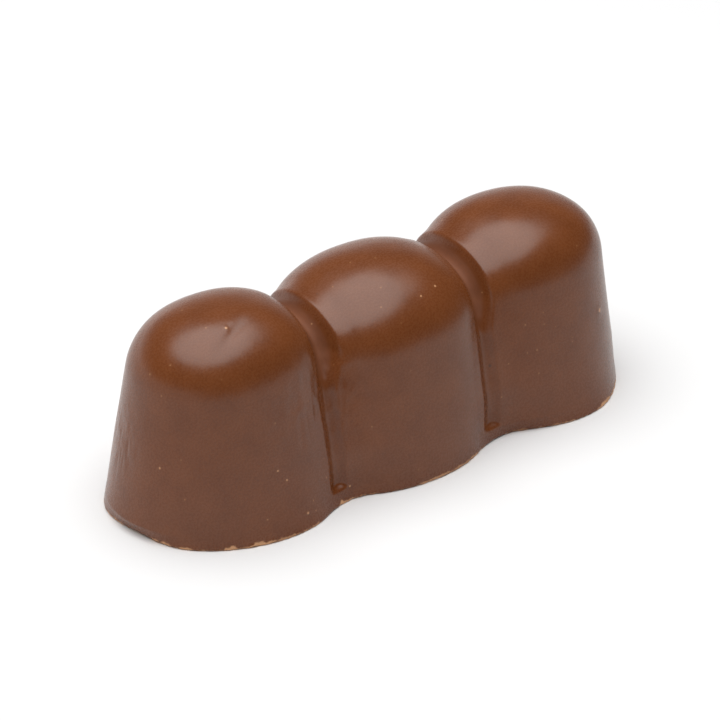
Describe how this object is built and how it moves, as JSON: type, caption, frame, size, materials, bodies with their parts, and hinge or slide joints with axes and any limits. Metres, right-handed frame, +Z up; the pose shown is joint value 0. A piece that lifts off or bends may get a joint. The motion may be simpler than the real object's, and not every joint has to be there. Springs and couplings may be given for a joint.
{
  "type": "hazelnut praline",
  "caption": "Moulded milk chocolate praline, a short bar of domed lumps in a row with flared walls, rounded grooves between the lumps and a flat underside to stand on.",
  "frame": {"origin": "middle of the flat underside, which is the bottom of the bounding box", "axes": "+X along the row of lumps, +Z up, +Y towards the long side that the picture doesn't show"},
  "size_m": [0.0472, 0.018, 0.0162],
  "materials": {
    "milk_chocolate": "milk chocolate with a satin skin"
  },
  "bodies": {
    "root": {"praline": "milk_chocolate"}
  },
  "joints": []
}
